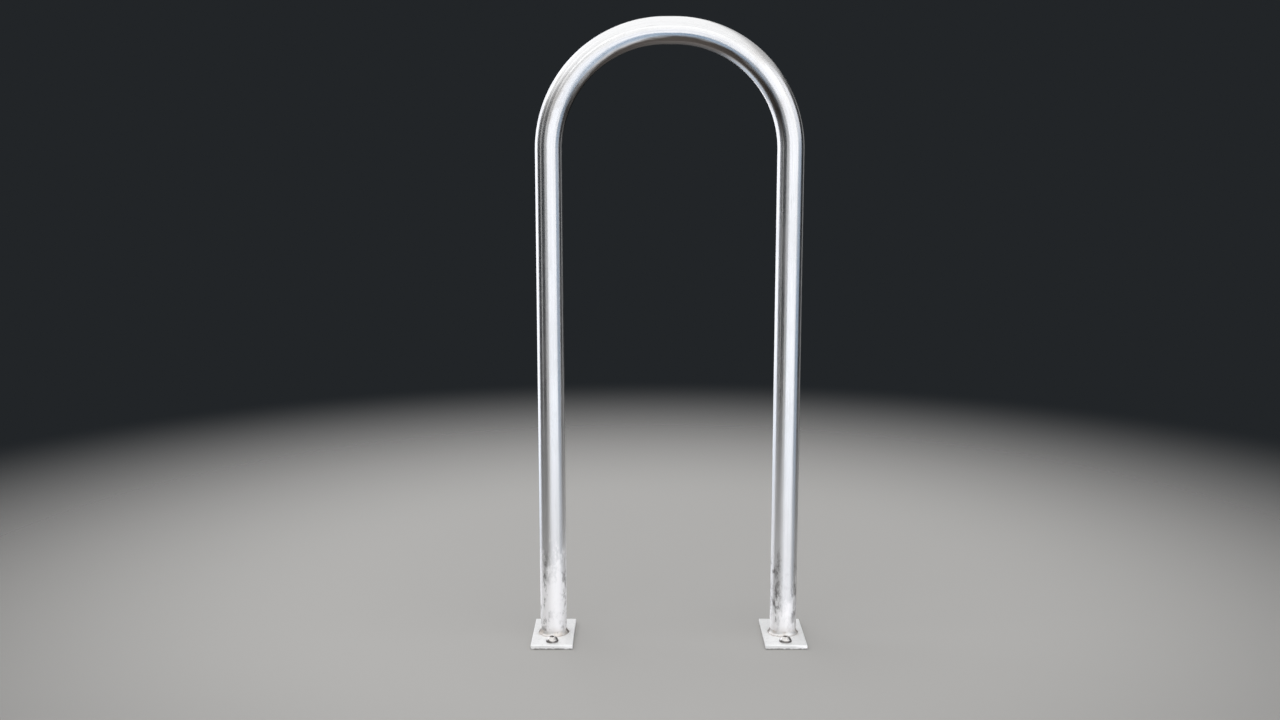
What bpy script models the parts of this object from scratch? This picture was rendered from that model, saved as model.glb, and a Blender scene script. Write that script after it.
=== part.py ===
"""A hoop bike stand: one bent round tube welded to two foot plates.

Each plate lies flat on the ground and is held down by two button-head socket screws on washers, one
in front of the leg and one behind it. Sizes are in metres and +Z is up. The origin is on the ground
midway between the legs, +X runs from the left leg to the right one and -Y is the front.
"""

import math

import bmesh
import bpy

# Hoop
HOOP_HEIGHT = 0.886
LEG_SPACING = 0.336
CROWN_RUN = 0.013
TUBE_DIAMETER = 0.0381
TUBE_WALL = 0.002

# Foot plates, with the bare metal left beside the weld and beyond the washers
PLATE_THICKNESS = 0.006
PLATE_SIDE_LEDGE = 0.00795
PLATE_END_LEDGE = 0.007
PLATE_EASED_EDGE = 0.0005

# Fillet weld round each leg
WELD_WIDTH = 0.003
WELD_HEIGHT = 0.0065
WELD_EDGE = 0.0004
WELD_HOLLOW = 0.0004
WELD_TO_WASHER = 0.00795

# Screws and washers
SCREW_DIAMETER = 0.010
SCREW_HOLE_CLEARANCE = 0.0005
HEAD_OVERHANG = 0.00375
HEAD_HEIGHT = 0.0055
HEAD_RIM = 0.0007
SOCKET_FLATS = 0.006
SOCKET_DEPTH = 0.0031
SOCKET_LIP = 0.0006
WASHER_THICKNESS = 0.0016
WASHER_RIM = 0.00025
WASHER_BORE_CLEARANCE = 0.00025

# Gap between pieces that touch
SEAT_GAP = 0.0003

# Fineness of the round shapes
BEND_STEPS = 16
TUBE_SIDES = 32
WELD_SIDES = 40
SCREW_SIDES = 32
DOME_STEPS = 6
WELD_STEPS = 5

# Sizes that follow
tube_radius = TUBE_DIAMETER / 2
leg_x = LEG_SPACING / 2
bend_radius = (LEG_SPACING - CROWN_RUN) / 2
bend_start = HOOP_HEIGHT - tube_radius - bend_radius
screw_radius = SCREW_DIAMETER / 2
head_radius = screw_radius + HEAD_OVERHANG
washer_radius = head_radius + WASHER_RIM
screw_offset = tube_radius + WELD_WIDTH + WELD_TO_WASHER + washer_radius
plate_length = 2 * (screw_offset + washer_radius + PLATE_END_LEDGE)
plate_width = 2 * (tube_radius + WELD_WIDTH + PLATE_SIDE_LEDGE)
on_plate = PLATE_THICKNESS + SEAT_GAP
on_washer = on_plate + WASHER_THICKNESS + SEAT_GAP
SCREW_PLACES = {"front": -screw_offset, "rear": screw_offset}
FOOT_PLACES = {"left": -leg_x, "right": leg_x}


def clear_scene():
    for old in list(bpy.data.objects):
        bpy.data.objects.remove(old, do_unlink=True)


def new_collection(name):
    collection = bpy.data.collections.new(name)
    bpy.context.scene.collection.children.link(collection)
    return collection


def steel(name, colour, roughness):
    material = bpy.data.materials.new(name)
    material.use_nodes = True
    shader = material.node_tree.nodes["Principled BSDF"]
    shader.inputs["Base Color"].default_value = (*colour, 1)
    shader.inputs["Metallic"].default_value = 1
    shader.inputs["Roughness"].default_value = roughness
    material.diffuse_color = (*colour, 1)
    return material


def new_piece(name, mesh, material, parent=None, place=(0, 0, 0)):
    """Puts a mesh in the stand's collection as a named piece, at its place on its parent."""
    piece = bpy.data.objects.new(name, mesh)
    piece.location = place
    piece.parent = parent
    if not mesh.materials:
        mesh.materials.append(material)
    stand.objects.link(piece)
    return piece


def new_cutter(name, mesh, parent, place):
    cutter = bpy.data.objects.new(name, mesh)
    cutter.location = place
    cutter.parent = parent
    cutter.hide_render = True
    cutter.display_type = "WIRE"
    cutters.objects.link(cutter)
    return cutter


def cut(piece, cutter):
    modifier = piece.modifiers.new(f"cut {cutter.name}", "BOOLEAN")
    modifier.operation = "DIFFERENCE"
    modifier.solver = "EXACT"
    modifier.object = cutter


def turned_profile(name, points, closed):
    """A mesh of one line of (radius, height) points, which runs down the shape's outer side."""
    shape = bmesh.new()
    corners = [shape.verts.new((radius, 0, height)) for radius, height in points]
    followers = corners[1:] + corners[:1] if closed else corners[1:]
    for corner, follower in zip(corners, followers):
        shape.edges.new((corner, follower))
    mesh = bpy.data.meshes.new(name)
    shape.to_mesh(mesh)
    shape.free()
    return mesh


def turn(piece, sides):
    modifier = piece.modifiers.new("turn", "SCREW")
    modifier.steps = sides
    modifier.render_steps = sides
    modifier.use_merge_vertices = True
    modifier.merge_threshold = 0.00001
    modifier.use_smooth_shade = True


def prism(name, radius, bottom, top, sides):
    """A closed mesh of a round or many-sided bar about Z, to cut with."""
    shape = bmesh.new()
    bmesh.ops.create_cone(
        shape, cap_ends=True, segments=sides, radius1=radius, radius2=radius, depth=top - bottom
    )
    bmesh.ops.translate(shape, vec=(0, 0, (top + bottom) / 2), verts=shape.verts)
    mesh = bpy.data.meshes.new(name)
    shape.to_mesh(mesh)
    shape.free()
    return mesh


def hoop_route():
    """The tube's centre line: up the left leg, over two quarter bends and down the right leg."""
    right_half = []
    for step in range(BEND_STEPS + 1):
        turned = math.radians(90 * step / BEND_STEPS)
        across = CROWN_RUN / 2 + bend_radius * math.sin(turned)
        right_half.append((across, 0, bend_start + bend_radius * math.cos(turned)))
    right_half.append((leg_x, 0, on_plate))
    left_half = [(-x, y, z) for x, y, z in reversed(right_half)]
    return left_half + right_half


def make_hoop_tube(material):
    """A curve gives the tube's outside, and Solidify gives it its wall and open ends."""
    route = hoop_route()
    curve = bpy.data.curves.new("hoop_route", "CURVE")
    curve.dimensions = "3D"
    curve.twist_mode = "MINIMUM"
    curve.bevel_depth = tube_radius
    curve.bevel_resolution = TUBE_SIDES // 2 - 2
    spline = curve.splines.new("POLY")
    spline.points.add(len(route) - 1)
    for point, place in zip(spline.points, route):
        point.co = (*place, 1)
    guide = bpy.data.objects.new("hoop_route", curve)
    stand.objects.link(guide)
    evaluated = guide.evaluated_get(bpy.context.evaluated_depsgraph_get())
    mesh = bpy.data.meshes.new_from_object(evaluated)
    mesh.name = "hoop_tube"
    bpy.data.objects.remove(guide, do_unlink=True)
    mesh.shade_smooth()
    tube = new_piece("hoop_tube", mesh, material)
    wall = tube.modifiers.new("wall", "SOLIDIFY")
    wall.thickness = TUBE_WALL
    wall.offset = -1
    wall.use_even_offset = True


def make_plate(name, foot, material):
    """Flat bar with eased edges and a clearance hole at each screw."""
    shape = bmesh.new()
    bmesh.ops.create_cube(shape, size=1)
    bmesh.ops.scale(shape, vec=(plate_width, plate_length, PLATE_THICKNESS), verts=shape.verts)
    bmesh.ops.translate(shape, vec=(0, 0, PLATE_THICKNESS / 2), verts=shape.verts)
    mesh = bpy.data.meshes.new(name)
    shape.to_mesh(mesh)
    shape.free()
    plate = new_piece(name, mesh, material, foot)
    easing = plate.modifiers.new("eased edges", "BEVEL")
    easing.width = PLATE_EASED_EDGE
    easing.segments = 2
    hole_radius = screw_radius + SCREW_HOLE_CLEARANCE
    for where, y in SCREW_PLACES.items():
        hole = prism(
            f"{name}_hole_{where}", hole_radius, -PLATE_THICKNESS, 2 * PLATE_THICKNESS, SCREW_SIDES
        )
        cut(plate, new_cutter(hole.name, hole, foot, (0, y, 0)))


def weld_profile():
    """The bead's section: upright along the tube, flat on the plate and slightly hollow outside."""
    inner = tube_radius + SEAT_GAP
    crest = inner + WELD_EDGE
    toe = tube_radius + WELD_WIDTH
    spread = toe - crest
    drop = WELD_HEIGHT - WELD_EDGE
    slope = math.hypot(spread, drop)
    points = [(inner, WELD_HEIGHT)]
    for step in range(WELD_STEPS + 1):
        along = step / WELD_STEPS
        hollow = WELD_HOLLOW * math.sin(math.pi * along)
        radius = crest + spread * along - hollow * drop / slope
        height = WELD_HEIGHT - drop * along - hollow * spread / slope
        points.append((radius, height))
    points.append((toe, 0))
    points.append((inner, 0))
    return points


def screw_profile():
    """Domed head with a flat crown round the socket, an upright rim and a plain shank."""
    crown = SOCKET_FLATS / math.sqrt(3) + SOCKET_LIP
    points = [(0, HEAD_HEIGHT)]
    for step in range(DOME_STEPS + 1):
        fall = math.radians(90 * step / DOME_STEPS)
        radius = crown + (head_radius - crown) * math.sin(fall)
        height = HEAD_RIM + (HEAD_HEIGHT - HEAD_RIM) * math.cos(fall)
        points.append((radius, height))
    shank_end = SEAT_GAP - on_washer
    points += [(head_radius, 0), (screw_radius, 0), (screw_radius, shank_end), (0, shank_end)]
    return points


def washer_profile():
    bore = screw_radius + WASHER_BORE_CLEARANCE
    return [(washer_radius, WASHER_THICKNESS), (washer_radius, 0), (bore, 0), (bore, WASHER_THICKNESS)]


def make_foot(side, x):
    """An empty on the ground under a leg, and what is fixed there."""
    foot = bpy.data.objects.new(f"foot_{side}", None)
    foot.location = (x, 0, 0)
    stand.objects.link(foot)
    make_plate(f"base_plate_{side}", foot, plate_steel)
    bead = new_piece(f"weld_bead_{side}", weld_mesh, weld_steel, foot, (0, 0, on_plate))
    turn(bead, WELD_SIDES)
    for where, y in SCREW_PLACES.items():
        washer = new_piece(
            f"washer_{side}_{where}", washer_mesh, screw_steel, foot, (0, y, on_plate)
        )
        turn(washer, SCREW_SIDES)
        screw = new_piece(
            f"button_screw_{side}_{where}", screw_mesh, screw_steel, foot, (0, y, on_washer)
        )
        turn(screw, SCREW_SIDES)
        cut(screw, new_cutter(f"socket_{side}_{where}", socket_mesh, foot, (0, y, on_washer)))


clear_scene()
stand = new_collection("hoop_bike_stand")
cutters = new_collection("cutters")
cutters.hide_render = True
tube_steel = steel("satin tube steel", (0.60, 0.60, 0.61), 0.32)
plate_steel = steel("pale plate steel", (0.70, 0.70, 0.70), 0.45)
weld_steel = steel("weld metal", (0.58, 0.56, 0.53), 0.40)
screw_steel = steel("bright screw steel", (0.56, 0.55, 0.53), 0.25)
weld_mesh = turned_profile("weld_bead", weld_profile(), closed=True)
screw_mesh = turned_profile("button_screw", screw_profile(), closed=False)
washer_mesh = turned_profile("washer", washer_profile(), closed=True)
socket_mesh = prism(
    "socket", SOCKET_FLATS / math.sqrt(3), HEAD_HEIGHT - SOCKET_DEPTH, 2 * HEAD_HEIGHT, 6
)
make_hoop_tube(tube_steel)
for foot_side, foot_x in FOOT_PLACES.items():
    make_foot(foot_side, foot_x)
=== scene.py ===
"""A hoop bike stand: a bent steel tube welded to two plates, each held down by two screws.

Metres, with +Z up. The origin is on the ground midway between the legs and -Y is the front.
"""

import math

import bmesh
import bpy
from mathutils import Matrix, Vector


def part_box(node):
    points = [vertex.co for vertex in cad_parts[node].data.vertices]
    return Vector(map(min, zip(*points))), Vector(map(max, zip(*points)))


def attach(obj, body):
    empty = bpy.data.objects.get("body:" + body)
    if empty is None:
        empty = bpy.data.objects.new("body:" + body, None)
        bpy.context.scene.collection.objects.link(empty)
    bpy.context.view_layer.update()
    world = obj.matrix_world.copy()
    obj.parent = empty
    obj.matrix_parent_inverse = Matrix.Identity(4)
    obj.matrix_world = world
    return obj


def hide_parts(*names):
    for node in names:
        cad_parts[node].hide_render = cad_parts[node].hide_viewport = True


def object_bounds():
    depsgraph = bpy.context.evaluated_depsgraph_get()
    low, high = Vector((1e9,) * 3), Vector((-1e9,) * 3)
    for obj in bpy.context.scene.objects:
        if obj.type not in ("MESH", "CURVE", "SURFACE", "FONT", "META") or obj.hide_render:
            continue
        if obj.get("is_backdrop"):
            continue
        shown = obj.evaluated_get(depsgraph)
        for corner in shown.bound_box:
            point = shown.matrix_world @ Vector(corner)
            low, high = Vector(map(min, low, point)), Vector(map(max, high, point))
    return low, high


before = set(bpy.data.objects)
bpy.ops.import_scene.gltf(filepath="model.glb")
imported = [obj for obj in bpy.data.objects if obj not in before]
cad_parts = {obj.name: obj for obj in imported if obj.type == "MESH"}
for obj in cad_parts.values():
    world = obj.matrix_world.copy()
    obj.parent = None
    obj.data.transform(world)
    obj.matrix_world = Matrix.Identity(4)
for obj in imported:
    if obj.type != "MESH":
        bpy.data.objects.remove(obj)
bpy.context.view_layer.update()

# Foot plates. Two lengths of 60 x 6 mm steel flat bar lie on the ground, their long side square to
# the hoop. Each is sawn to length, eased along its edges and drilled for a screw at either end.

SIDES = ("left", "right")
ENDS = ("front", "rear")
PLATE_CORNER = 0.0012
PLATE_CORNER_STEPS = 4
PLATE_EASING = 0.0007
PLATE_EASING_STEPS = 3
HOLE_RADIUS = 0.0055
HOLE_SURROUND = 1.2 * HOLE_RADIUS
HOLE_CELL = 0.0080
HOLE_SIDES = 48
ON_OUTLINE = 1e-5
SQUARE_EDGE = 1.2
SHARP_ANGLE = math.radians(40)


def finished(name, shape, material, slot, *nodes):
    """Makes a bmesh a piece of the stand, which shows in place of these CAD nodes."""
    mesh = bpy.data.meshes.new(name)
    shape.to_mesh(mesh)
    shape.free()
    mesh.shade_smooth()
    mesh.set_sharp_from_angle(angle=SHARP_ANGLE)
    mesh.materials.append(material)
    piece = bpy.data.objects.new(name, mesh)
    bpy.context.scene.collection.objects.link(piece)
    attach(piece, "root")
    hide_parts(*nodes)
    return piece


def connect(tree, socket, value):
    """Links an input to an output socket, or gives it a number."""
    if isinstance(value, bpy.types.NodeSocket):
        tree.links.new(value, socket)
    else:
        socket.default_value = value


def add(tree, kind, values=None, **settings):
    """A new shader node with its settings. values gives its inputs, as numbers or as sockets."""
    node = tree.nodes.new("ShaderNode" + kind)
    for name, value in settings.items():
        setattr(node, name, value)
    for name, value in (values or {}).items():
        connect(tree, node.inputs[name], value)
    return node


def maths(tree, operation, first, second=0.0, third=0.0):
    values = {0: first, 1: second, 2: third}
    return add(tree, "Math", values, operation=operation).outputs[0]


def times(tree, first, second):
    return maths(tree, "MULTIPLY", first, second)


def ramp(tree, value, low, high, at_low=0.0, at_high=1.0):
    """A value that goes smoothly from at_low to at_high as its input goes from low to high."""
    values = {"Value": value, "From Min": low, "From Max": high, "To Min": at_low, "To Max": at_high}
    return add(tree, "MapRange", values, interpolation_type="SMOOTHSTEP").outputs[0]


def parts(tree, vector):
    return add(tree, "SeparateXYZ", {0: vector}).outputs[:]


def mix_colour(tree, share, one, other):
    return add(tree, "Mix", {0: share, 6: one, 7: other}, data_type="RGBA").outputs[2]


def laid_over(tree, colour, mask, strength, other):
    """A colour with another one laid over it where the mask is, at this strength."""
    return mix_colour(tree, times(tree, mask, strength), colour, other)


def mix_value(tree, share, one, other):
    return add(tree, "Mix", {0: share, 2: one, 3: other}, data_type="FLOAT").outputs[0]


def relief(tree, strength, depth, height):
    """The normal of a surface whose height map stands out by this depth."""
    return add(tree, "Bump", {"Strength": strength, "Distance": depth, "Height": height}).outputs[0]


def new_effect(name, inputs, outputs):
    """A shader node group with these named sockets, and its tree, inputs and output node."""
    tree = bpy.data.node_groups.new(name, "ShaderNodeTree")
    for socket, (kind, value) in inputs.items():
        made = tree.interface.new_socket(name=socket, in_out="INPUT", socket_type="NodeSocket" + kind)
        if value is not None:
            made.default_value = value
    for socket, kind in outputs.items():
        tree.interface.new_socket(name=socket, in_out="OUTPUT", socket_type="NodeSocket" + kind)
    entry = tree.nodes.new("NodeGroupInput")
    leave = tree.nodes.new("NodeGroupOutput")
    return tree, entry.outputs, leave.inputs


def effect(tree, group, values):
    """Places an effect in a material with its own values."""
    node = tree.nodes.new("ShaderNodeGroup")
    node.node_tree = group
    for name, value in values.items():
        connect(tree, node.inputs[name], value)
    return node.outputs


def new_metal(name, metallic=1.0):
    material = bpy.data.materials.new(name)
    material.use_nodes = True
    tree = material.node_tree
    shader = tree.nodes["Principled BSDF"]
    shader.inputs["Metallic"].default_value = metallic
    return material, tree, shader


def feed(tree, shader, **values):
    """Links or sets a shader's inputs, whose names are given with _ for a space."""
    for name, value in values.items():
        connect(tree, shader.inputs[name.replace("_", " ")], value)


# Effect: soft blotches, from faint smudges to hard-edged spots
blotches, given, made = new_effect(
    "blotches",
    {
        "Place": ("Vector", None),
        "Size": ("Float", 0.02),
        "Stretch": ("Vector", (1.0, 1.0, 1.0)),
        "Ragged": ("Float", 0.6),
        "From": ("Float", 0.45),
        "To": ("Float", 0.60),
    },
    {"Mask": "Float"},
)
stretched = add(blotches, "VectorMath", {0: given["Place"], 1: given["Stretch"]}, operation="MULTIPLY")
fineness = maths(blotches, "DIVIDE", 1.0, given["Size"])
cloud = add(
    blotches,
    "TexNoise",
    {"Vector": stretched.outputs[0], "Scale": fineness, "Detail": 6.0, "Roughness": given["Ragged"]},
)
blotches.links.new(ramp(blotches, cloud.outputs[0], given["From"], given["To"]), made["Mask"])


def blotch_mask(tree, place, size, start, full, **more):
    """Blotches of about this size. They begin where the noise passes start and are whole at full."""
    values = {"Place": place, "Size": size, "From": start, "To": full}
    return effect(tree, blotches, {**values, **more})["Mask"]


# Effect: parallel lines such as drawing, rolling or a saw leaves, along the axis with the low fineness
lines, given, made = new_effect(
    "lines",
    {"Place": ("Vector", None), "Fineness": ("Vector", (1000.0, 1000.0, 20.0))},
    {"Height": "Float"},
)
stretched = add(lines, "VectorMath", {0: given["Place"], 1: given["Fineness"]}, operation="MULTIPLY")
noise = add(lines, "TexNoise", {"Vector": stretched.outputs[0], "Scale": 1.0, "Detail": 3.0})
lines.links.new(noise.outputs[0], made["Height"])


def line_height(tree, place, fineness):
    return effect(tree, lines, {"Place": place, "Fineness": fineness})["Height"]


# Effect: how far a point on a box is from the nearest edge of the box
edge_distance, given, made = new_effect(
    "edge_distance",
    {"Place": ("Vector", None), "Half": ("Vector", (1.0, 1.0, 1.0))},
    {"Distance": "Float"},
)
away = add(edge_distance, "VectorMath", {0: given["Place"]}, operation="ABSOLUTE")
depth = add(edge_distance, "VectorMath", {0: given["Half"], 1: away.outputs[0]}, operation="SUBTRACT")
each = parts(edge_distance, depth.outputs[0])
lesser = maths(edge_distance, "MINIMUM", each[0], each[1])
greater = maths(edge_distance, "MAXIMUM", each[0], each[1])
second = maths(edge_distance, "MAXIMUM", lesser, maths(edge_distance, "MINIMUM", greater, each[2]))
edge_distance.links.new(second, made["Distance"])

plate_low, plate_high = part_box("base_plate_right")
plate_centre = (plate_low + plate_high) / 2
plate_half = (plate_high - plate_low) / 2
leg_x = plate_centre.x

# The pale steel of the plates: satin, with grey smudges, scratches, bright edges, and grime at the
# ground that also paints the plate's contact shadow. Pairs of numbers are the distances at which a
# mark begins and at which it is whole.
PLATE_METALLIC = 0.32
PLATE_COLOURS = {
    "clean": (0.95, 0.95, 0.95, 1),
    "smudged": (0.87, 0.87, 0.87, 1),
    "speck": (0.42, 0.42, 0.42, 1),
    "stain": (0.46, 0.40, 0.34, 1),
    "worn": (0.96, 0.96, 0.96, 1),
    # grime, and the painted contact shadow along the plate's foot
    "grime_and_shade": (0.13, 0.12, 0.11, 1),
}
PLATE_ROUGHNESS = {"clean": 0.44, "smudged": 0.56, "scratch": 0.30, "worn": 0.32, "grime_and_shade": 0.80}
MILL_LINES = (1500.0, 40.0, 1500.0)
EDGE_WEAR = (0.0011, 0.0002)
GRIME_AND_SHADE_HEIGHT = (0.0026, 0.0006)
GRIME_AND_SHADE_DROP = -0.0012
STAIN_FROM_TUBE = (0.0275, 0.0215)
PLATE_RELIEF = 0.00006

pale_steel, tree, shader = new_metal("pale_plate_steel", PLATE_METALLIC)
place = add(tree, "TexCoord").outputs["Object"]
x, y, z = parts(tree, place)
from_leg = maths(tree, "SUBTRACT", maths(tree, "ABSOLUTE", x), leg_x)
from_middle = maths(tree, "SUBTRACT", z, plate_centre.z)
centred = add(tree, "CombineXYZ", {0: from_leg, 1: y, 2: from_middle}).outputs[0]
edge = effect(tree, edge_distance, {"Place": centred, "Half": plate_half})["Distance"]
worn = ramp(tree, edge, *EDGE_WEAR)
smudge = blotch_mask(tree, place, 0.022, 0.42, 0.68)
speck = blotch_mask(tree, place, 0.0035, 0.56, 0.66, Ragged=0.7)
mill = line_height(tree, place, MILL_LINES)
scratch = blotch_mask(tree, place, 0.004, 0.64, 0.67, Stretch=(3.0, 0.18, 1.0))
# Grime and painted shade: a dark band along the foot of each plate that stands in for its contact shadow
grime_and_shade_line = maths(tree, "ADD", z, times(tree, speck, GRIME_AND_SHADE_DROP))
ground_cloud = blotch_mask(tree, place, 0.008, 0.36, 0.58)
grime_and_shade = times(tree, ramp(tree, grime_and_shade_line, *GRIME_AND_SHADE_HEIGHT), ground_cloud)
across_squared = maths(tree, "POWER", from_leg, 2.0)
along_squared = maths(tree, "POWER", y, 2.0)
from_tube = maths(tree, "SQRT", maths(tree, "ADD", across_squared, along_squared))
stain_cloud = blotch_mask(tree, place, 0.010, 0.38, 0.66)
stain = times(tree, ramp(tree, from_tube, *STAIN_FROM_TUBE), stain_cloud)
colour = mix_colour(tree, smudge, PLATE_COLOURS["clean"], PLATE_COLOURS["smudged"])
colour = laid_over(tree, colour, speck, 0.35, PLATE_COLOURS["speck"])
colour = laid_over(tree, colour, stain, 0.5, PLATE_COLOURS["stain"])
colour = mix_colour(tree, worn, colour, PLATE_COLOURS["worn"])
colour = laid_over(tree, colour, grime_and_shade, 0.75, PLATE_COLOURS["grime_and_shade"])
rough = mix_value(tree, smudge, PLATE_ROUGHNESS["clean"], PLATE_ROUGHNESS["smudged"])
rough = mix_value(tree, scratch, rough, PLATE_ROUGHNESS["scratch"])
rough = mix_value(tree, worn, rough, PLATE_ROUGHNESS["worn"])
rough = mix_value(tree, grime_and_shade, rough, PLATE_ROUGHNESS["grime_and_shade"])
height = maths(tree, "ADD", times(tree, mill, 0.5), times(tree, scratch, -0.9))
height = maths(tree, "ADD", height, times(tree, speck, -0.8))
normal = relief(tree, 0.35, PLATE_RELIEF, height)
feed(tree, shader, Base_Color=colour, Roughness=rough, Normal=normal)


def edges_at(verts):
    """The edges at these vertices, each once and always in the same order."""
    return list(dict.fromkeys(edge for vert in verts for edge in vert.link_edges))


def plate_shape(low, high, holes):
    """Flat bar: a sheet with round holes let into square cells, thickened upwards and eased."""
    shape = bmesh.new()
    centre = (low + high) / 2
    bmesh.ops.create_grid(shape, x_segments=1, y_segments=1, size=0.5)
    bmesh.ops.scale(shape, vec=(high.x - low.x, high.y - low.y, 1), verts=shape.verts)
    bmesh.ops.translate(shape, vec=(centre.x, centre.y, low.z), verts=shape.verts)
    cuts = [((centre.x + side, 0, 0), (1, 0, 0)) for side in (-HOLE_CELL, HOLE_CELL)]
    cuts += [((0, y + side, 0), (0, 1, 0)) for y in holes for side in (-HOLE_CELL, HOLE_CELL)]
    for point, normal in cuts:
        everything = shape.verts[:] + shape.edges[:] + shape.faces[:]
        bmesh.ops.bisect_plane(shape, geom=everything, plane_co=point, plane_no=normal)
    for y in holes:
        middle = Vector((centre.x, y, low.z))
        cell = min(shape.faces, key=lambda face: (face.calc_center_median() - middle).length)
        outline = cell.edges[:]
        bmesh.ops.delete(shape, geom=[cell], context="FACES_ONLY")
        rim = bmesh.ops.create_circle(
            shape, segments=HOLE_SIDES, radius=HOLE_RADIUS, matrix=Matrix.Translation(middle)
        )["verts"]
        bmesh.ops.bridge_loops(shape, edges=outline + edges_at(rim))
    sheet = bmesh.ops.extrude_face_region(shape, geom=shape.faces[:])["geom"]
    raised = [item for item in sheet if isinstance(item, bmesh.types.BMVert)]
    bmesh.ops.translate(shape, vec=(0, 0, high.z - low.z), verts=raised)
    bmesh.ops.recalc_face_normals(shape, faces=shape.faces)

    def at_corner(vert):
        across = abs(abs(vert.co.x - centre.x) - (high.x - low.x) / 2)
        along = abs(abs(vert.co.y - centre.y) - (high.y - low.y) / 2)
        return across < ON_OUTLINE and along < ON_OUTLINE

    def clear_of_holes(edge):
        end = edge.verts[0].co
        middles = [Vector((centre.x, y, end.z)) for y in holes]
        return min((end - middle).length for middle in middles) > HOLE_SURROUND

    corners = [edge for edge in shape.edges if all(at_corner(vert) for vert in edge.verts)]
    bmesh.ops.bevel(
        shape,
        geom=corners,
        offset=PLATE_CORNER,
        segments=PLATE_CORNER_STEPS,
        profile=0.5,
        affect="EDGES",
        material=-1,
    )
    square = [e for e in shape.edges if len(e.link_faces) == 2 and e.calc_face_angle() > SQUARE_EDGE]
    bmesh.ops.bevel(
        shape,
        geom=[edge for edge in square if clear_of_holes(edge)],
        offset=PLATE_EASING,
        segments=PLATE_EASING_STEPS,
        profile=0.5,
        affect="EDGES",
        material=-1,
    )
    return shape


for side in SIDES:
    low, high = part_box(f"base_plate_{side}")
    holes = []
    for end in ENDS:
        screw_low, screw_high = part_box(f"button_screw_{side}_{end}")
        holes.append((screw_low.y + screw_high.y) / 2)
    plate = finished(
        f"foot_plate_{side}", plate_shape(low, high, holes), pale_steel, "pale_plate", f"base_plate_{side}"
    )
    plate.modifiers.new("flat_faces", "WEIGHTED_NORMAL").keep_sharp = True

# Hoop. One length of 38.1 mm steel tube with a 2 mm wall, drawn, bent cold through two quarter turns
# and polished along its length to a satin. Tarnish and painted shade darken the inside of the bend, and
# cement and dirt dull the foot of each leg, where the dirt also paints dark reflections at the sides.

TUBE_RADIUS = 0.01905
TUBE_WALL = 0.002
CROWN_RUN = 0.013
TUBE_SIDES = 96
LEG_STEPS = 12
BEND_STEPS = 48

hoop_low, hoop_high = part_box("hoop_tube")
bend_radius = leg_x - CROWN_RUN / 2
bend_start = hoop_high.z - TUBE_RADIUS - bend_radius
bend_length = bend_radius * math.pi / 2
crown_z = bend_start + bend_radius
leg_step = (bend_start - hoop_low.z) / LEG_STEPS


def straightened(point):
    """Where a point of the bent tube was on the straight one: out from the hoop, to the rear and along."""
    if point.z < bend_start:
        total = 2 * (bend_start + bend_length) + CROWN_RUN
        return Vector((abs(point.x) - leg_x, point.y, point.z if point.x < 0 else total - point.z))
    if abs(point.x) < CROWN_RUN / 2:
        return Vector((point.z - crown_z, point.y, bend_start + bend_length + point.x + CROWN_RUN / 2))
    across = abs(point.x) - CROWN_RUN / 2
    up = point.z - bend_start
    turned = bend_radius * math.atan2(up, across)
    if point.x < 0:
        along = bend_start + turned
    else:
        along = bend_start + bend_length + CROWN_RUN + (bend_length - turned)
    return Vector((math.hypot(across, up) - bend_radius, point.y, along))


def extruded(shape, edges):
    """Extrudes edges on the spot, and gives the new edges and the new vertices."""
    grown = bmesh.ops.extrude_edge_only(shape, edges=edges)["geom"]
    new_edges = [item for item in grown if isinstance(item, bmesh.types.BMEdge)]
    new_verts = [item for item in grown if isinstance(item, bmesh.types.BMVert)]
    return new_edges, new_verts


def leg(shape, end, step_up):
    """Carries a ring at the tube's open end along one leg."""
    for step in range(LEG_STEPS):
        end, moved = extruded(shape, end)
        bmesh.ops.translate(shape, vec=(0, 0, step_up), verts=moved)
    return end


def quarter_bend(shape, end, centre_x):
    """Carries a ring at the tube's open end round a quarter turn towards the right."""
    ring = list(dict.fromkeys(vert for edge in end for vert in edge.verts))
    spun = bmesh.ops.spin(
        shape,
        geom=ring + end,
        cent=(centre_x, 0, bend_start),
        axis=(0, 1, 0),
        angle=math.pi / 2,
        steps=BEND_STEPS,
    )["geom_last"]
    return [item for item in spun if isinstance(item, bmesh.types.BMEdge)]


shape = bmesh.new()
mouths = []
for radius in (TUBE_RADIUS, TUBE_RADIUS - TUBE_WALL):
    start = Matrix.Translation((-leg_x, 0, hoop_low.z))
    verts = bmesh.ops.create_circle(shape, segments=TUBE_SIDES, radius=radius, matrix=start)["verts"]
    mouths.append(edges_at(verts))
far_mouths = []
for mouth in mouths:
    end = leg(shape, mouth, leg_step)
    end = quarter_bend(shape, end, -CROWN_RUN / 2)
    end, moved = extruded(shape, end)
    bmesh.ops.translate(shape, vec=(CROWN_RUN, 0, 0), verts=moved)
    end = quarter_bend(shape, end, CROWN_RUN / 2)
    far_mouths.append(leg(shape, end, -leg_step))
for outer, inner in (mouths, far_mouths):
    bmesh.ops.bridge_loops(shape, edges=outer + inner)
bmesh.ops.recalc_face_normals(shape, faces=shape.faces)
unbent_layer = shape.verts.layers.float_vector.new("unbent")
for vert in shape.verts:
    vert[unbent_layer] = straightened(vert.co)
wrap = shape.loops.layers.uv.new("wrap")
for face in shape.faces:
    points = [loop.vert[unbent_layer] for loop in face.loops]
    turns = [math.atan2(point.y, point.x) / math.tau for point in points]
    for loop, point, turn in zip(face.loops, points, turns):
        if max(turns) - turn > 0.5:
            turn += 1
        loop[wrap].uv = (point.z, turn)

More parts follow.
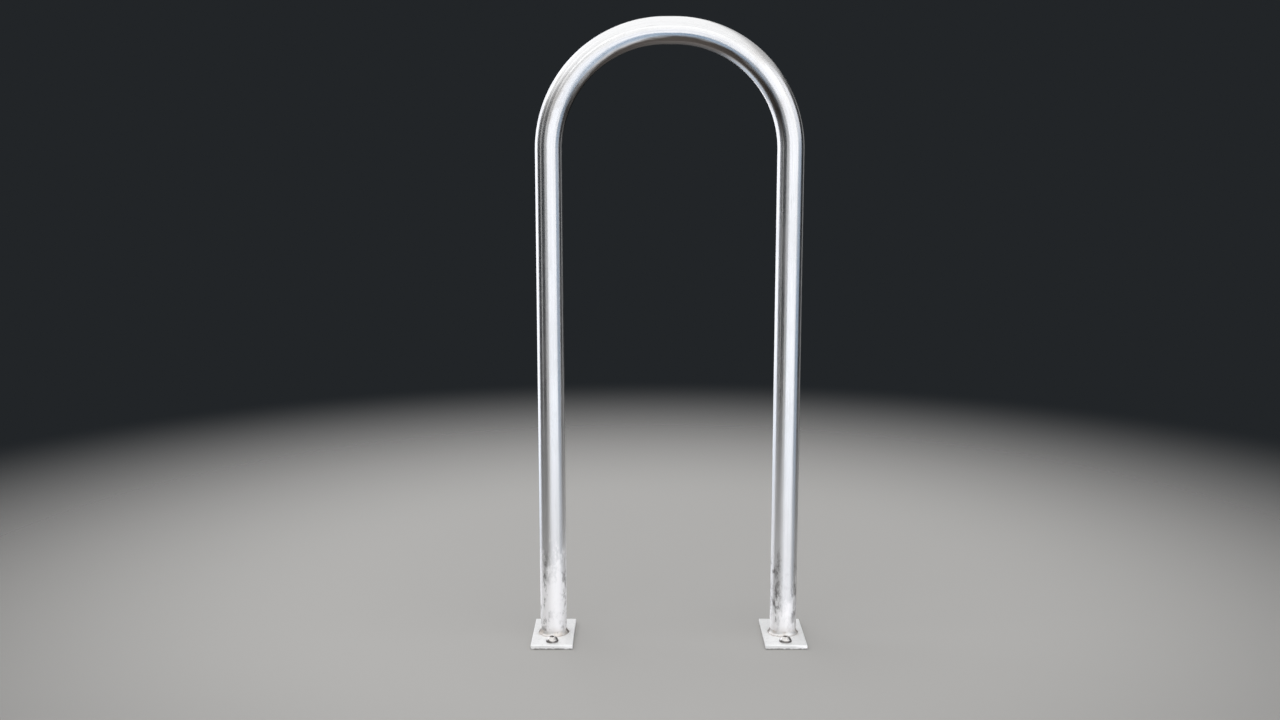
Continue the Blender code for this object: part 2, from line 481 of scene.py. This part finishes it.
# The satin steel of the tube. Its marks follow the place on the straight tube, which the attribute
# unbent gives, so that they run round the bend. Heights are above the ground and x is to the right.
SATIN_COLOURS = {
    "clean": (0.75, 0.75, 0.755, 1),
    "smeared": (0.67, 0.67, 0.67, 1),
    "polish line": (0.58, 0.58, 0.59, 1),
    "drawn line": (0.56, 0.56, 0.565, 1),
    "scratch": (0.42, 0.41, 0.405, 1),
    "spot": (0.48, 0.47, 0.46, 1),
    "handled": (0.46, 0.435, 0.415, 1),
    # tarnish, and the painted shade inside the bend
    "tarnish_and_shade": (0.100, 0.084, 0.073, 1),
    "cement": (0.95, 0.94, 0.945, 1),
    # dirt, and the painted dark reflection at the sides of the feet
    "dirt_and_shade": (0.17, 0.16, 0.16, 1),
    "singed": (0.50, 0.44, 0.40, 1),
}
SATIN_ROUGHNESS = {"clean": 0.24, "smeared": 0.30, "tarnish_and_shade": 0.34, "cement": 0.50, "dirt_and_shade": 0.42}
ANISOTROPY = 0.8
POLISH_LINES = (2200.0, 2200.0, 9.0)
DRAWN_LINES = (700.0, 700.0, 2.5)
SCRATCH_STRETCH = (2.2, 2.2, 0.05)
SMEAR_STRETCH = (1.0, 1.0, 0.35)
STREAK_STRETCH = (1.0, 1.0, 0.12)
SHOULDER_FOOT = (0.70, 0.76)
SHOULDER_TOP = (0.865, 0.82)
TARNISH_AND_SHADE_SPAN = (-0.12, 0.02)
TARNISH_AND_SHADE_REACH = (-0.0125, -0.0060)
TARNISH_AND_SHADE_FADE = (0.003, -0.003)
TARNISH_AND_SHADE_RAGGED = 0.0035
SHADE_CLEARED_REAR = (-0.0135, -0.0095)
SHADE_CLEARED_RIGHT = (0.060, 0.110)
CEMENT_TOPS = (0.132, 0.066)
CEMENT_STRETCH = (1.0, 1.0, 0.45)
CEMENT_RAGGED = -0.30
CEMENT_FADE = (0.012, -0.055)
CEMENT_METALLIC = 0.30
DIRT_AND_SHADE_TOP = (0.15, 0.10)
DIRT_AND_SHADE_ON_LEFT = (-0.002, -0.010)
DIRT_AND_SHADE_ON_RIGHT = (0.008, 0.015)
SINGE_RAGGED = 0.016
SINGE_FADE = (0.017, 0.006)
DULL_FOOT = (0.42, 0.12)
FINE_RELIEF = 0.00004

satin_steel, tree, shader = new_metal("satin_tube_steel")
place = add(tree, "TexCoord").outputs["Object"]
unbent = add(tree, "Attribute", attribute_name="unbent").outputs["Vector"]
x, y, z = parts(tree, place)
outward = parts(tree, unbent)[0]
above_legs = ramp(tree, z, *SHOULDER_FOOT)

# Marks all over the tube
polish = line_height(tree, unbent, POLISH_LINES)
drawn = line_height(tree, unbent, DRAWN_LINES)
scratch = blotch_mask(tree, unbent, 0.0030, 0.68, 0.71, Stretch=SCRATCH_STRETCH, Ragged=0.45)
smear = blotch_mask(tree, unbent, 0.03, 0.45, 0.72, Stretch=SMEAR_STRETCH)
spot = blotch_mask(tree, unbent, 0.0045, 0.62, 0.70, Ragged=0.65)

# Handling at the shoulders, and tarnish with painted shade inside the bend, which is cleared at its right
shoulder_cloud = blotch_mask(tree, unbent, 0.022, 0.47, 0.66, Stretch=SMEAR_STRETCH, Ragged=0.68)
handled = times(tree, shoulder_cloud, times(tree, above_legs, ramp(tree, z, *SHOULDER_TOP)))
streak = blotch_mask(tree, unbent, 0.007, 0.30, 0.70, Stretch=STREAK_STRETCH)
# Painted shade with tarnish: the inside of the bend is darkened and browned, as a painted dark reflection
tarnish_and_shade_edge = ramp(tree, x, *TARNISH_AND_SHADE_SPAN, *TARNISH_AND_SHADE_REACH)
into_bend = maths(tree, "SUBTRACT", outward, tarnish_and_shade_edge)
into_bend = maths(tree, "MULTIPLY_ADD", streak, TARNISH_AND_SHADE_RAGGED, into_bend)
tarnish_and_shade = times(tree, ramp(tree, into_bend, *TARNISH_AND_SHADE_FADE), above_legs)
tarnish_and_shade_cleared = times(tree, ramp(tree, y, *SHADE_CLEARED_REAR), ramp(tree, x, *SHADE_CLEARED_RIGHT))
tarnish_and_shade = times(tree, tarnish_and_shade, maths(tree, "SUBTRACT", 1.0, tarnish_and_shade_cleared))

# Cement film at the feet, which ends lower on the right leg, with blots of dirt that also paint dark
# reflections at each leg's sides, and a singed ring
cement_top = ramp(tree, x, -0.05, 0.05, *CEMENT_TOPS)
foot_place = add(tree, "VectorMath", {0: unbent, 1: CEMENT_STRETCH}, operation="MULTIPLY").outputs[0]
foot_noise = {"Vector": foot_place, "Scale": 80.0, "Detail": 7.0, "Roughness": 0.72}
foot_cloud = add(tree, "TexNoise", foot_noise).outputs[0]
cement_noise = maths(tree, "SUBTRACT", foot_cloud, 0.5)
cement_level = maths(tree, "MULTIPLY_ADD", cement_noise, CEMENT_RAGGED, cement_top)
cement = ramp(tree, maths(tree, "SUBTRACT", z, cement_level), *CEMENT_FADE)
# Dirt and painted dark reflection: blots strongest at the left of each foot, and weaker at its right
across = maths(tree, "SUBTRACT", maths(tree, "ABSOLUTE", x), leg_x)
rightward = times(tree, across, maths(tree, "SIGN", x))
on_left = ramp(tree, rightward, *DIRT_AND_SHADE_ON_LEFT, 0.2, 1.0)
on_right = ramp(tree, rightward, *DIRT_AND_SHADE_ON_RIGHT, 0.2, 0.75)
dirt_and_shade_cloud = blotch_mask(tree, foot_place, 0.011, 0.50, 0.62, Ragged=0.75)
dirt_and_shade = times(tree, dirt_and_shade_cloud, maths(tree, "MAXIMUM", on_left, on_right))
dirt_and_shade = times(tree, dirt_and_shade, ramp(tree, z, *DIRT_AND_SHADE_TOP))
weld_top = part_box("weld_bead_left")[1].z
singe_level = maths(tree, "MULTIPLY_ADD", foot_cloud, SINGE_RAGGED, z)
singe = ramp(tree, singe_level, *(weld_top + height for height in SINGE_FADE))

colour = laid_over(tree, SATIN_COLOURS["clean"], smear, 0.5, SATIN_COLOURS["smeared"])
polish_share = ramp(tree, polish, 0.35, 0.65, 0.0, 0.30)
colour = mix_colour(tree, polish_share, colour, SATIN_COLOURS["polish line"])
drawn_share = ramp(tree, drawn, 0.50, 0.68, 0.0, 0.35)
colour = mix_colour(tree, drawn_share, colour, SATIN_COLOURS["drawn line"])
colour = laid_over(tree, colour, scratch, 0.4, SATIN_COLOURS["scratch"])
colour = laid_over(tree, colour, spot, 0.25, SATIN_COLOURS["spot"])
colour = laid_over(tree, colour, handled, 0.55, SATIN_COLOURS["handled"])
tarnish_and_shade_strength = ramp(tree, drawn, 0.45, 0.60, 0.98, 0.88)
colour = laid_over(tree, colour, tarnish_and_shade, tarnish_and_shade_strength, SATIN_COLOURS["tarnish_and_shade"])
colour = mix_colour(tree, cement, colour, SATIN_COLOURS["cement"])
colour = laid_over(tree, colour, dirt_and_shade, 0.8, SATIN_COLOURS["dirt_and_shade"])
colour = laid_over(tree, colour, singe, 0.3, SATIN_COLOURS["singed"])
rough = mix_value(tree, smear, SATIN_ROUGHNESS["clean"], SATIN_ROUGHNESS["smeared"])
rough = maths(tree, "ADD", rough, ramp(tree, polish, 0.30, 0.70, -0.02, 0.05))
rough = maths(tree, "ADD", rough, times(tree, scratch, 0.12))
rough = maths(tree, "ADD", rough, ramp(tree, z, *DULL_FOOT, 0.0, 0.10))
rough = mix_value(tree, tarnish_and_shade, rough, SATIN_ROUGHNESS["tarnish_and_shade"])
rough = mix_value(tree, cement, rough, SATIN_ROUGHNESS["cement"])
rough = mix_value(tree, dirt_and_shade, rough, SATIN_ROUGHNESS["dirt_and_shade"])
metallic = mix_value(tree, cement, 1.0, CEMENT_METALLIC)
height = maths(tree, "ADD", polish, times(tree, cement, 0.8))
height = maths(tree, "SUBTRACT", height, times(tree, scratch, 0.8))
normal = relief(tree, 0.25, FINE_RELIEF, height)
along_tube = add(tree, "Tangent", direction_type="UV_MAP", uv_map="wrap").outputs[0]
feed(tree, shader, Base_Color=colour, Roughness=rough, Metallic=metallic, Normal=normal)
feed(tree, shader, Anisotropic=ANISOTROPY, Tangent=along_tube)
finished("bent_hoop", shape, satin_steel, "satin_tube", "hoop_tube")

# Weld beads. A fillet of weld metal runs round each leg where it stands on its plate. It is laid in
# one pass of small overlapping ripples, then brushed, and heat has left it a little brown.

BEAD_STEPS = 480
BEAD_PROFILE_STEPS = 12
BEAD_HOLLOW = 0.0007
BEAD_BITE = 0.0002
BEAD_CREST = 0.00004
BEAD_TOE = 0.0003
BEAD_RIPPLES = 74
RIPPLE_HEIGHT = 0.00009
RIPPLE_BOW = 2.6
RIPPLE_LEAN = 0.35
RIPPLED_SHARE = (0.03, 0.98)
WELD_METALLIC = 0.6
WELD_COLOURS = {
    "clean": (0.80, 0.79, 0.78, 1),
    "heated": (0.66, 0.60, 0.54, 1),
    "soot": (0.22, 0.20, 0.19, 1),
    "toe": (0.30, 0.25, 0.22, 1),
    # the painted dark reflection at the left and right of each bead
    "stop": (0.10, 0.085, 0.08, 1),
}
WELD_ROUGHNESS = {"clean": 0.40, "soot_and_shade": 0.60}
TOE_LINE = (0.0014, 0.0004)
SIDE_SHADE_REACH = (0.0115, 0.0050)
SIDE_SHADE_RAGGED = 0.006
GRIT_FINENESS = 1400.0


def turned_shape(profile, centre, steps):
    """Spins a line of (radius, height) points a full turn about an upright axis, and closes it."""
    shape = bmesh.new()
    corners = [shape.verts.new((centre.x + radius, centre.y, height)) for radius, height in profile]
    line = [shape.edges.new(pair) for pair in zip(corners, corners[1:])]
    bmesh.ops.spin(
        shape,
        geom=corners + line,
        cent=(centre.x, centre.y, 0),
        axis=(0, 0, 1),
        angle=math.tau,
        steps=steps,
        use_merge=True,
    )
    bmesh.ops.remove_doubles(shape, verts=shape.verts, dist=1e-6)
    bmesh.ops.recalc_face_normals(shape, faces=shape.faces)
    return shape


weld_steel, tree, shader = new_metal("weld_metal", WELD_METALLIC)
place = add(tree, "TexCoord").outputs["Object"]
y, z = parts(tree, place)[1:]
heated = blotch_mask(tree, place, 0.016, 0.42, 0.66)
soot = blotch_mask(tree, place, 0.007, 0.55, 0.68, Ragged=0.7)
toe_line = ramp(tree, z, *(plate_high.z + height for height in TOE_LINE))
# Painted shade: the left and right of each bead are darkened, as a painted dark reflection
side_shade_cloud = blotch_mask(tree, place, 0.005, 0.3, 0.7, Ragged=0.7)
side_shade_level = maths(tree, "MULTIPLY_ADD", side_shade_cloud, SIDE_SHADE_RAGGED, maths(tree, "ABSOLUTE", y))
stop = ramp(tree, side_shade_level, *SIDE_SHADE_REACH)
colour = mix_colour(tree, heated, WELD_COLOURS["clean"], WELD_COLOURS["heated"])
colour = laid_over(tree, colour, soot, 0.5, WELD_COLOURS["soot"])
colour = laid_over(tree, colour, toe_line, 0.45, WELD_COLOURS["toe"])
colour = laid_over(tree, colour, stop, 0.8, WELD_COLOURS["stop"])
soot_and_shade = maths(tree, "MAXIMUM", soot, stop)
rough = mix_value(tree, soot_and_shade, WELD_ROUGHNESS["clean"], WELD_ROUGHNESS["soot_and_shade"])
grit = add(tree, "TexNoise", {"Vector": place, "Scale": GRIT_FINENESS, "Detail": 3.0}).outputs[0]
normal = relief(tree, 0.3, FINE_RELIEF, grit)
feed(tree, shader, Base_Color=colour, Roughness=rough, Normal=normal)

inner = TUBE_RADIUS - BEAD_BITE
crest = TUBE_RADIUS + BEAD_CREST
bottom = plate_high.z
for side in SIDES:
    low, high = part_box(f"weld_bead_{side}")
    centre = (low + high) / 2
    toe = (high.x - low.x) / 2
    profile = [(inner, bottom), (toe, bottom)]
    for step in range(BEAD_PROFILE_STEPS + 1):
        share = step / BEAD_PROFILE_STEPS
        hollow = BEAD_HOLLOW * math.sin(math.pi * share)
        radius = toe + (crest - toe) * share - hollow
        profile.append((radius, bottom + BEAD_TOE + (high.z - bottom - BEAD_TOE) * share - hollow / 2))
    profile += [(inner, high.z), (inner, bottom)]
    bead = turned_shape(profile, centre, BEAD_STEPS)
    for vert in bead.verts:
        out = Vector((vert.co.x - centre.x, vert.co.y - centre.y, 0))
        share = (vert.co.z - bottom) / (high.z - bottom)
        if out.length < crest or not RIPPLED_SHARE[0] < share < RIPPLED_SHARE[1]:
            continue
        angle = math.atan2(out.y, out.x)
        wander = 0.35 * math.sin(5 * angle + 1) + 0.25 * math.sin(13 * angle)
        ripple = BEAD_RIPPLES * angle + wander + RIPPLE_BOW * (2 * share - 1) ** 2
        lull = 0.7 + 0.3 * math.sin(7 * angle + 2)
        dip = 0.5 - 0.5 * math.cos(ripple - RIPPLE_LEAN * math.sin(ripple))
        vert.co -= out.normalized() * RIPPLE_HEIGHT * lull * dip * math.sin(math.pi * share)
    finished(f"fillet_weld_{side}", bead, weld_steel, "weld_metal", f"weld_bead_{side}")

# Washers. Plain small-series M10 washers, punched from sheet steel, which rounds one edge, and tumbled
# bright. One lies under each screw's head.

WASHER_BORE = 0.00525
WASHER_BORE_EDGE = 0.0002
WASHER_EDGE = 0.0003
WASHER_EDGE_STEPS = 4
WASHER_SIDES = 96
BRIGHT_COLOURS = {
    "clean": (0.64, 0.625, 0.61, 1),
    "worn": (0.53, 0.51, 0.49, 1),
    "rust": (0.33, 0.24, 0.17, 1),
    # dirt, and the painted shade where each head sits on its washer
    "dirt_and_shade": (0.07, 0.06, 0.055, 1),
}
BRIGHT_ROUGHNESS = {"clean": 0.20, "worn": 0.30, "rusty": 0.60}
SEAT_HEIGHT = 0.0002
SEAT_DIRT_AND_SHADE = (0.0017, 0.0005)

bright_steel, tree, shader = new_metal("bright_screw_steel")
place = add(tree, "TexCoord").outputs["Object"]
z = parts(tree, place)[2]
wear = blotch_mask(tree, place, 0.006, 0.42, 0.66)
rust = blotch_mask(tree, place, 0.0035, 0.58, 0.68, Ragged=0.7)
seat_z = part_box("washer_left_front")[1].z + SEAT_HEIGHT
# Dirt and painted shade: a dark ring round the joint between each head and its washer
from_seat = maths(tree, "ABSOLUTE", maths(tree, "SUBTRACT", z, seat_z))
seat_cloud = blotch_mask(tree, place, 0.004, 0.25, 0.55)
seat_dirt_and_shade = times(tree, ramp(tree, from_seat, *SEAT_DIRT_AND_SHADE), seat_cloud)
colour = mix_colour(tree, wear, BRIGHT_COLOURS["clean"], BRIGHT_COLOURS["worn"])
colour = laid_over(tree, colour, rust, 0.6, BRIGHT_COLOURS["rust"])
colour = laid_over(tree, colour, seat_dirt_and_shade, 0.85, BRIGHT_COLOURS["dirt_and_shade"])
rough = mix_value(tree, wear, BRIGHT_ROUGHNESS["clean"], BRIGHT_ROUGHNESS["worn"])
rough = mix_value(tree, maths(tree, "MAXIMUM", rust, seat_dirt_and_shade), rough, BRIGHT_ROUGHNESS["rusty"])
normal = relief(tree, 0.25, FINE_RELIEF, rust)
feed(tree, shader, Base_Color=colour, Roughness=rough, Normal=normal)

for side in SIDES:
    for end in ENDS:
        low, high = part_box(f"washer_{side}_{end}")
        centre = (low + high) / 2
        radius = (high.x - low.x) / 2
        profile = [(WASHER_BORE, low.z)]
        profile += [(radius - WASHER_EDGE / 2, low.z), (radius, low.z + WASHER_EDGE / 2)]
        for step in range(WASHER_EDGE_STEPS + 1):
            turn = math.radians(90 * step / WASHER_EDGE_STEPS)
            inward = WASHER_EDGE * (1 - math.cos(turn))
            down = WASHER_EDGE * (1 - math.sin(turn))
            profile.append((radius - inward, high.z - down))
        profile += [(WASHER_BORE + WASHER_BORE_EDGE, high.z), (WASHER_BORE, high.z - WASHER_BORE_EDGE)]
        profile.append((WASHER_BORE, low.z))
        washer = finished(
            f"flat_washer_{side}_{end}",
            turned_shape(profile, centre, WASHER_SIDES),
            bright_steel,
            "bright_screw",
            f"washer_{side}_{end}",
        )
        washer.modifiers.new("flat_faces", "WEIGHTED_NORMAL").keep_sharp = True

# Screws. M10 button-head socket screws of bright steel pass through the plates into the ground. Each
# head is a low dome, upset cold, with a 6 mm hexagon socket pressed into its flat crown.

HEAD_RIM = 0.0007
HEAD_LIFT = 0.0001
RIM_CHAMFER = 0.0002
SOCKET_FLATS = 0.006
SOCKET_DEPTH = 0.0031
SOCKET_LIP = 0.0006
LIP_CHAMFER = 0.0002
SHANK_RADIUS = 0.005
HEAD_SIDES = 96
DOME_STEPS = 16
CROWN_EDGE = 0.0003
CROWN_EDGE_SHARES = (0.35, 0.7)

# The angle in degrees at which each screw stopped as it was tightened
TIGHTENED_AT = {"left_front": 40, "left_rear": 81, "right_front": 23, "right_rear": 64}

key_radius = SOCKET_FLATS / math.sqrt(3)
flared = 1.0 + LIP_CHAMFER / key_radius
crown = key_radius + SOCKET_LIP


def head_profile(head_radius, under, top, shank_end):
    """The screw's outside from its crown to its end: a ball's segment, the rim and the shank."""
    rim_z = under + HEAD_RIM
    ball_z = (head_radius**2 + rim_z**2 - crown**2 - top**2) / (2 * (rim_z - top))
    ball_radius = math.hypot(head_radius, rim_z - ball_z)
    steepest = math.asin(head_radius / ball_radius)
    shallowest = math.asin(crown / ball_radius)
    points = []
    for share in CROWN_EDGE_SHARES:
        points.append((crown + CROWN_EDGE * share, top - CROWN_EDGE * share**2 / 4))
    for step in range(1, DOME_STEPS + 1):
        tilt = shallowest + (steepest - shallowest) * step / DOME_STEPS
        points.append((ball_radius * math.sin(tilt), ball_z + ball_radius * math.cos(tilt)))
    points += [(head_radius, under + RIM_CHAMFER), (head_radius - RIM_CHAMFER, under)]
    points += [(SHANK_RADIUS, under), (SHANK_RADIUS, shank_end)]
    return points


for side in SIDES:
    for end in ENDS:
        low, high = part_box(f"button_screw_{side}_{end}")
        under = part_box(f"washer_{side}_{end}")[1].z + HEAD_LIFT
        centre = (low + high) / 2
        head_radius = (high.x - low.x) / 2
        shape = bmesh.new()
        depth = Matrix.Translation((0, 0, high.z - SOCKET_DEPTH))
        bmesh.ops.create_circle(shape, segments=6, radius=key_radius, matrix=depth)
        bmesh.ops.subdivide_edges(shape, edges=shape.edges[:], cuts=HEAD_SIDES // 6 - 1)
        socket_foot = shape.edges[:]
        front = socket_foot
        for rise, spread in ((SOCKET_DEPTH - LIP_CHAMFER, 1.0), (LIP_CHAMFER, flared)):
            front, moved = extruded(shape, front)
            bmesh.ops.translate(shape, vec=(0, 0, rise), verts=moved)
            bmesh.ops.scale(shape, vec=(spread, spread, 1), verts=moved)
        top = Matrix.Translation((0, 0, high.z))
        ring = bmesh.ops.create_circle(shape, segments=HEAD_SIDES, radius=crown, matrix=top)["verts"]
        ring_edges = edges_at(ring)
        bmesh.ops.bridge_loops(shape, edges=front + ring_edges)
        front = ring_edges
        radius = crown
        height = high.z
        for next_radius, next_height in head_profile(head_radius, under, high.z, low.z):
            front, moved = extruded(shape, front)
            bmesh.ops.scale(shape, vec=(next_radius / radius, next_radius / radius, 1), verts=moved)
            bmesh.ops.translate(shape, vec=(0, 0, next_height - height), verts=moved)
            radius = next_radius
            height = next_height
        bmesh.ops.edgeloop_fill(shape, edges=front)
        bmesh.ops.edgeloop_fill(shape, edges=socket_foot)
        bmesh.ops.recalc_face_normals(shape, faces=shape.faces)
        tightened = Matrix.Rotation(math.radians(TIGHTENED_AT[f"{side}_{end}"]), 3, "Z")
        bmesh.ops.rotate(shape, cent=(0, 0, 0), matrix=tightened, verts=shape.verts)
        bmesh.ops.translate(shape, vec=(centre.x, centre.y, 0), verts=shape.verts)
        finished(
            f"socket_screw_{side}_{end}", shape, bright_steel, "bright_screw", f"button_screw_{side}_{end}"
        )

# Floor. A plain, pale and matt studio floor. It takes the stand's soft shadow, and fades away from the
# stand into the grey of the room.

FLOOR_RADIUS = 2.2
FLOOR_SIDES = 96
FLOOR_MIDDLE = 0.25
FLOOR_DROP = 0.0003
FLOOR_PAINT = (0.41, 0.402, 0.39, 1)
FLOOR_FADE = (0.5, 1.9)

shape = bmesh.new()
bmesh.ops.create_circle(shape, segments=FLOOR_SIDES, radius=FLOOR_RADIUS, cap_ends=True)
bmesh.ops.translate(shape, vec=(0, FLOOR_MIDDLE, -FLOOR_DROP), verts=shape.verts)
floor_mesh = bpy.data.meshes.new("studio_floor")
shape.to_mesh(floor_mesh)
shape.free()
floor_paint = bpy.data.materials.new("floor_paint")
floor_paint.use_nodes = True
tree = floor_paint.node_tree
paint = add(tree, "BsdfDiffuse", {"Color": FLOOR_PAINT})
clear = add(tree, "BsdfTransparent")
place = add(tree, "TexCoord").outputs["Object"]
middle = {0: place, 1: (0, FLOOR_MIDDLE, 0)}
reach = add(tree, "VectorMath", middle, operation="DISTANCE").outputs["Value"]
gone = ramp(tree, reach, *FLOOR_FADE)
faded = add(tree, "MixShader", {0: gone, 1: paint.outputs[0], 2: clear.outputs[0]})
tree.links.new(faded.outputs[0], tree.nodes["Material Output"].inputs["Surface"])
floor_mesh.materials.append(floor_paint)
floor = bpy.data.objects.new("studio_floor", floor_mesh)
bpy.context.scene.collection.objects.link(floor)
floor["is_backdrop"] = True

# Studio light. Tall soft boxes stand round the room, with a large one overhead and a narrow strip near
# the left leg. Flat cards on the floor brighten what the legs and the crown mirror there. The room
# behind them is a dark grey.

SHINE = 1.58
ROOM_RADIUS = 4.4
ROOM_BOTTOM = -1.2
CARD_HEIGHT = 0.002
ROOM_GREY = (0.0160, 0.0185, 0.0210, 1)
WHITE = (1.0, 1.0, 1.0)
FAINT_BLUE = (0.97, 0.98, 1.0)
PALE_BLUE = (0.935, 0.948, 1.0)
BLUE = (0.57, 0.76, 1.0)
DEEP_BLUE = (0.48, 0.70, 1.0)

world = bpy.data.worlds.new("studio")
bpy.context.scene.world = world
world.use_nodes = True
world.node_tree.nodes["Background"].inputs["Color"].default_value = ROOM_GREY


def area_lamp(name, place, turned, width, length, strength, tint=WHITE, spread=180):
    """A soft box. strength is how bright it looks in a mirror, as a share of SHINE."""
    lamp = bpy.data.lights.new(name, "AREA")
    lamp.shape = "RECTANGLE"
    lamp.size = width
    lamp.size_y = length
    lamp.energy = strength * SHINE * math.pi * width * length
    lamp.color = tint
    lamp.spread = math.radians(spread)
    holder = bpy.data.objects.new(name, lamp)
    holder.location = place
    holder.rotation_euler = turned
    bpy.context.scene.collection.objects.link(holder)


def soft_box(name, sector, low, high, strength, tint=WHITE, reach=ROOM_RADIUS, x=0.0):
    """An upright soft box that fills a sector seen from x, in degrees from the front to the right."""
    start, stop = sector
    middle = math.radians((start + stop) / 2)
    width = 2 * reach * math.tan(math.radians(stop - start) / 2)
    place = (x + reach * math.sin(middle), -reach * math.cos(middle), (low + high) / 2)
    area_lamp(name, place, (math.radians(90), 0, middle), width, high - low, strength, tint)


def floor_card(name, sector, near, far, strength, tint, x=0.0, spread=180):
    """A flat soft box that lies facing up, and fills this sector of the floor from near to far of x."""
    start, stop = sector
    middle = math.radians((start + stop) / 2)
    reach = (near + far) / 2
    width = 2 * reach * math.tan(math.radians(stop - start) / 2)
    place = (x + reach * math.sin(middle), -reach * math.cos(middle), CARD_HEIGHT)
    area_lamp(name, place, (math.pi, 0, middle), width, far - near, strength, tint, spread)


KEY_START = -16
KEY_STOP = 60
KEY = (KEY_START, KEY_STOP)
KEY_STRENGTH = 0.9
FADE_BOTTOM = 1.9
SIDE_BASE = 1.1
RIM = (-166, -107)
RIM_TOP = 3.4
SLIT_TOP = 2.4
SLIT_BOTTOM = 0.15
SLIT_REACH = 1.0
CARD_SPREAD = 150
CEILING = 3.6
CEILING_CENTRE = (-1.95, -0.52, CEILING)
CEILING_WIDTH = 8.0
CEILING_LENGTH = 9.4
WING_WIDTH = 3.0
FLOOR_CARDS = (
    ("card", 0.62, 0.82, 0.34, BLUE, 0.0),
    ("far_card", 0.82, 1.35, 0.42, BLUE, 0.0),
    ("near_card", 0.06, 0.24, 0.38, PALE_BLUE, leg_x),
    ("middle_card", 0.24, 0.60, 0.36, PALE_BLUE, leg_x),
    ("near_left_card", 0.06, 0.24, 0.26, PALE_BLUE, -leg_x),
    ("middle_left_card", 0.24, 0.60, 0.22, PALE_BLUE, -leg_x),
)

soft_box("key", KEY, SIDE_BASE, CEILING, KEY_STRENGTH)
soft_box("key_low", KEY, 0.0, SIDE_BASE, KEY_STRENGTH, PALE_BLUE)
soft_box("key_foot", KEY, ROOM_BOTTOM, 0.0, KEY_STRENGTH, FAINT_BLUE)
soft_box("key_fade", (-38, KEY_START - 1), ROOM_BOTTOM, CEILING, 0.28)
soft_box("key_fade_high", (-36, KEY_START - 1), FADE_BOTTOM, CEILING, 0.4)
soft_box("key_side", (KEY_STOP + 1, 90), ROOM_BOTTOM, SIDE_BASE, 0.35, BLUE)
soft_box("key_side_high", (KEY_STOP + 1, 92), SIDE_BASE, CEILING, 0.72, PALE_BLUE)
soft_box("rim", RIM, ROOM_BOTTOM, RIM_TOP, 0.95, PALE_BLUE)
soft_box("slit", (-73, -65), SLIT_BOTTOM, SLIT_TOP, 0.33, reach=SLIT_REACH, x=-leg_x)
soft_box("rear_slit", (122, 136), ROOM_BOTTOM, SLIT_TOP, 0.2)
for area, sector in (("front", KEY), ("rear", RIM)):
    for name, near, far, strength, tint, x in FLOOR_CARDS:
        floor_card(f"{area}_{name}", sector, near, far, strength, tint, x)
floor_card("crown_card", (-46, 34), 1.15, 2.2, 0.42, DEEP_BLUE, spread=CARD_SPREAD)
key_turn = math.radians((KEY_START + KEY_STOP) / 2)
area_lamp("ceiling", CEILING_CENTRE, (0, 0, key_turn), CEILING_WIDTH, CEILING_LENGTH, 0.82)
to_wing = (CEILING_WIDTH + WING_WIDTH) / 2 * Vector((math.cos(key_turn), math.sin(key_turn), 0))
wing_place = Vector(CEILING_CENTRE) + to_wing
area_lamp("ceiling_wing", wing_place, (0, 0, key_turn), WING_WIDTH, CEILING_LENGTH, 0.38)

# Camera. It looks down a little at the stand from the front, a little to the left of the middle. Its
# lens, place and tilt are fitted to the photograph.

LENS = 37.795
SENSOR_WIDTH = 36
CAMERA_PLACE = (-0.0415, -1.8856, 0.7154)
CAMERA_TILT = math.radians(80.812)

camera = bpy.data.objects.new("camera", bpy.data.cameras.new("camera"))
camera.data.lens = LENS
camera.data.sensor_width = SENSOR_WIDTH
camera.location = CAMERA_PLACE
camera.rotation_euler = (CAMERA_TILT, 0, 0)
bpy.context.scene.collection.objects.link(camera)
bpy.context.scene.camera = camera
bpy.context.scene.view_settings.view_transform = "Standard"

low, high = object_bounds()
